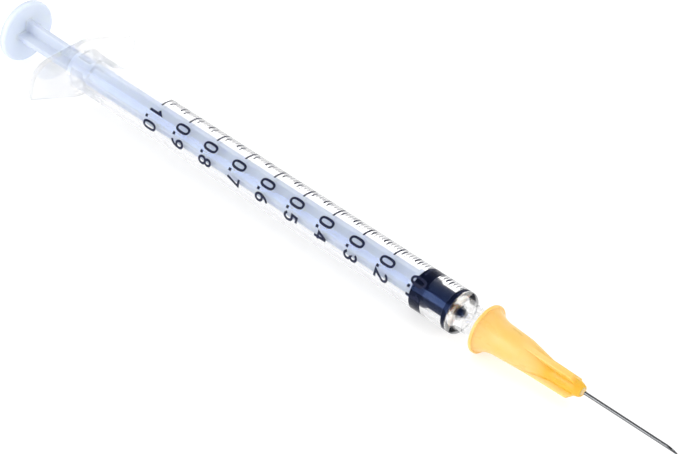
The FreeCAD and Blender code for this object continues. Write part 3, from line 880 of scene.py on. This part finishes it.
class SYRINGE_OT_hub(bpy.types.Operator):
    """Amber needle hub with its flared rim and fins"""
    bl_idname = "syringe.make_hub"
    bl_label = "Needle hub"

    def execute(self, context):
        settings = context.scene.syringe.needle
        make_piece("needle_hub_amber", [(hub_grid(settings), True)], amber_plastic(settings),
                   "needle", "needle_hub")
        return {"FINISHED"}


# Needle tube and glue

TUBE_BACK, NEEDLE_POINT = 12.6, 38.0


def tube_grid(settings):
    """Tube whose front ends on a slanting plane.

    The plane meets the tube's lowest line at its point, and stands back from there by the
    height above that line / tangent of the bevel.
    """
    outer, bore = settings.tube / MM / 2, settings.tube_bore / MM / 2
    back, point = TUBE_BACK, NEEDLE_POINT - INSIDE_BOX
    angles = even_angles(48)
    runs = np.array([0, 0.01, 0.5, 0.85, 0.9, 0.95, 0.98, 1.0])[:, None]

    def wall(radius, share_along):
        end = point - (radius * np.cos(angles) + outer) / math.tan(settings.bevel)
        return round_about(back + (end[None] - back) * share_along, radius, angles[None])

    return np.concatenate([wall(outer, runs), wall(outer - 0.008, np.ones((1, 1))),
                           wall(bore, runs[::-1])])


def glue_grid():
    """Plug in the hub's well with a hollow slope on to the tube, turned."""
    back, outside, top, rise = 21.25, 0.53, 0.34, 0.34
    bend = np.linspace(0.2, math.pi / 2, 8)
    slope = [(x, r, 0) for x, r in zip(HUB_FRONT + rise * (1 - np.cos(bend)),
                                       top + 0.18 * (1 - np.sin(bend)))]
    profile = rounded([
        (back, NEEDLE_HOLE, 0), (back, outside, 0.05), (HUB_FRONT, outside, 0.02), *slope,
        (HUB_FRONT + rise, NEEDLE_HOLE, 0)], closed=True)
    return turned(profile, even_angles(64))


class SYRINGE_OT_tube(bpy.types.Operator):
    """Ground steel tube and the glue that holds it"""
    bl_idname = "syringe.make_tube"
    bl_label = "Needle tube and glue"

    def execute(self, context):
        settings = context.scene.syringe.needle
        steel = plain_finish("drawn_steel", settings.steel, 0.25, Metallic=1.0)
        lines = add_noise(steel, 9000, 3.0, stretch=60.0)
        vary_roughness(steel, lines, 0.18, 0.36)
        add_relief(steel, lines, 0.002)
        make_piece("needle_tube_ground", [(tube_grid(settings), True)], steel,
                   "needle", "needle_tube")
        glue = plain_finish("glue", (0.80, 0.60, 0.30), 0.2, IOR=1.5)
        vary_roughness(glue, add_noise(glue, 3000, 2.0), 0.12, 0.3)
        make_piece("needle_glue_plug", [(glue_grid(), True)], glue,
                   "needle", "needle_glue")
        return {"FINISHED"}


# Studio: table, light and camera

CAMERA_PLACE = (159.70, -250.14, 187.60)
CAMERA_AXES = ((0.72519, 0.66392, 0.18253), (-0.46922, 0.28250, 0.83668),
               (0.50392, -0.69240, 0.51639))
KEY_PLACE, KEY_SIZE = (-0.45, -0.74, 0.25), (0.4, 0.6)
TOP_PLACE, TOP_SIZE = (0.4, 0.15, 0.75), (0.5, 0.5)


def light_sky(settings):
    """White light from all round, stronger through something clear, darker overhead in a gloss."""
    world = bpy.data.worlds.new("studio")
    world.use_nodes = True
    tree = world.node_tree
    sky = tree.nodes["Background"]
    sky.inputs["Color"].default_value = (1, 1, 1, 1)
    where = tree.nodes.new("ShaderNodeTexCoord")
    height = tree.nodes.new("ShaderNodeSeparateXYZ")
    fade = tree.nodes.new("ShaderNodeMapRange")
    fade.inputs["From Min"].default_value = 0.1
    fade.inputs["From Max"].default_value = 0.9
    fade.inputs["To Min"].default_value = 0.98
    fade.inputs["To Max"].default_value = 0.35
    tree.links.new(where.outputs["Generated"], height.inputs["Vector"])
    tree.links.new(height.outputs["Z"], fade.inputs["Value"])
    path = tree.nodes.new("ShaderNodeLightPath")
    level = value_mix(tree, path.outputs["Is Glossy Ray"], settings.sky, fade.outputs["Result"])
    level = value_mix(tree, path.outputs["Is Transmission Ray"], level, settings.behind)
    tree.links.new(level, sky.inputs["Strength"])
    bpy.context.scene.world = world


def table_finish(settings):
    """White table that keeps the shadow and gives a little light of its own."""
    material = plain_finish("white_table", (settings.table,) * 3, 0.8, Specular_IOR_Level=0.1,
                            Emission_Color=(1, 1, 1, 1), Emission_Strength=settings.glow)
    add_relief(material, add_noise(material, 900, 3.0), 0.01)
    return material


def add_table(settings):
    """A large flat square, level at the lowest point of the syringe."""
    half = 3.0
    corners = np.array([(-half, -half, 0), (half, -half, 0), (half, half, 0), (-half, half, 0)])
    mesh = bpy.data.meshes.new("table")
    mesh.from_pydata(corners, [], [(0, 1, 2, 3)])
    mesh.materials.append(table_finish(settings))
    table = bpy.data.objects.new("table", mesh)
    bpy.context.scene.collection.objects.link(table)


def add_lamp(name, power, place_at, size):
    """A soft square lamp that faces the middle of the syringe."""
    lamp = bpy.data.lights.new(name, "AREA")
    lamp.shape = "RECTANGLE"
    lamp.size, lamp.size_y = size
    lamp.energy = power
    holder = bpy.data.objects.new(name, lamp)
    back = np.array(place_at) / np.linalg.norm(place_at)
    right = np.cross((0, 0, 1), back)
    right /= np.linalg.norm(right)
    turn = Matrix(np.array([right, np.cross(back, right), back]).T.tolist()).to_4x4()
    turn.translation = place_at
    holder.matrix_world = turn
    bpy.context.scene.collection.objects.link(holder)


def add_camera(settings):
    """The camera where the photograph was taken from."""
    camera = bpy.data.cameras.new("camera")
    camera.lens = settings.lens
    camera.sensor_width = 36
    camera.clip_start = 0.01
    holder = bpy.data.objects.new("camera", camera)
    turn = Matrix((np.array(CAMERA_AXES) @ AXES).T.tolist()).to_4x4()
    turn.translation = place(np.array(CAMERA_PLACE)).tolist()
    holder.matrix_world = turn
    bpy.context.scene.collection.objects.link(holder)
    bpy.context.scene.camera = holder


class SYRINGE_OT_studio(bpy.types.Operator):
    """White table, soft lamps and the camera"""
    bl_idname = "syringe.make_studio"
    bl_label = "Studio"

    def execute(self, context):
        settings = context.scene.syringe.studio
        light_sky(settings)
        add_table(settings)
        add_lamp("key_lamp", settings.key, KEY_PLACE, KEY_SIZE)
        add_lamp("top_lamp", settings.top, TOP_PLACE, TOP_SIZE)
        add_camera(settings)
        context.scene.view_settings.view_transform = "Standard"
        return {"FINISHED"}


OPERATORS = (
    SYRINGE_OT_barrel,
    SYRINGE_OT_scale,
    SYRINGE_OT_rod,
    SYRINGE_OT_stopper,
    SYRINGE_OT_hub,
    SYRINGE_OT_tube,
    SYRINGE_OT_studio,
)


class SYRINGE_PT_panel(bpy.types.Panel):
    """Lists what can be built"""
    bl_idname = "SYRINGE_PT_panel"
    bl_label = "Syringe"
    bl_space_type = "VIEW_3D"
    bl_region_type = "UI"
    bl_category = "Syringe"

    def draw(self, context):
        for operator in OPERATORS:
            self.layout.operator(operator.bl_idname)
        for group in ("barrel", "print", "rod", "stopper", "needle", "studio"):
            box = self.layout.box()
            box.label(text=group.capitalize())
            settings = getattr(context.scene.syringe, group)
            for name in settings.__annotations__:
                box.prop(settings, name)


CLASSES = (
    BarrelSettings,
    PrintSettings,
    RodSettings,
    StopperSettings,
    NeedleSettings,
    StudioSettings,
    SyringeSettings,
    *OPERATORS,
    SYRINGE_PT_panel,
)


def register():
    """Make the settings, the operators and the panel known to Blender."""
    for item in CLASSES:
        bpy.utils.register_class(item)
    bpy.types.Scene.syringe = PointerProperty(type=SyringeSettings)


def unregister():
    """Take the settings, the operators and the panel away again."""
    del bpy.types.Scene.syringe
    for item in reversed(CLASSES):
        bpy.utils.unregister_class(item)


def main():
    """Build every piece and the studio."""
    register()
    bpy.ops.syringe.make_barrel()
    bpy.ops.syringe.make_scale()
    bpy.ops.syringe.make_rod()
    bpy.ops.syringe.make_stopper()
    bpy.ops.syringe.make_hub()
    bpy.ops.syringe.make_tube()
    bpy.ops.syringe.make_studio()


if __name__ == "__main__":
    main()
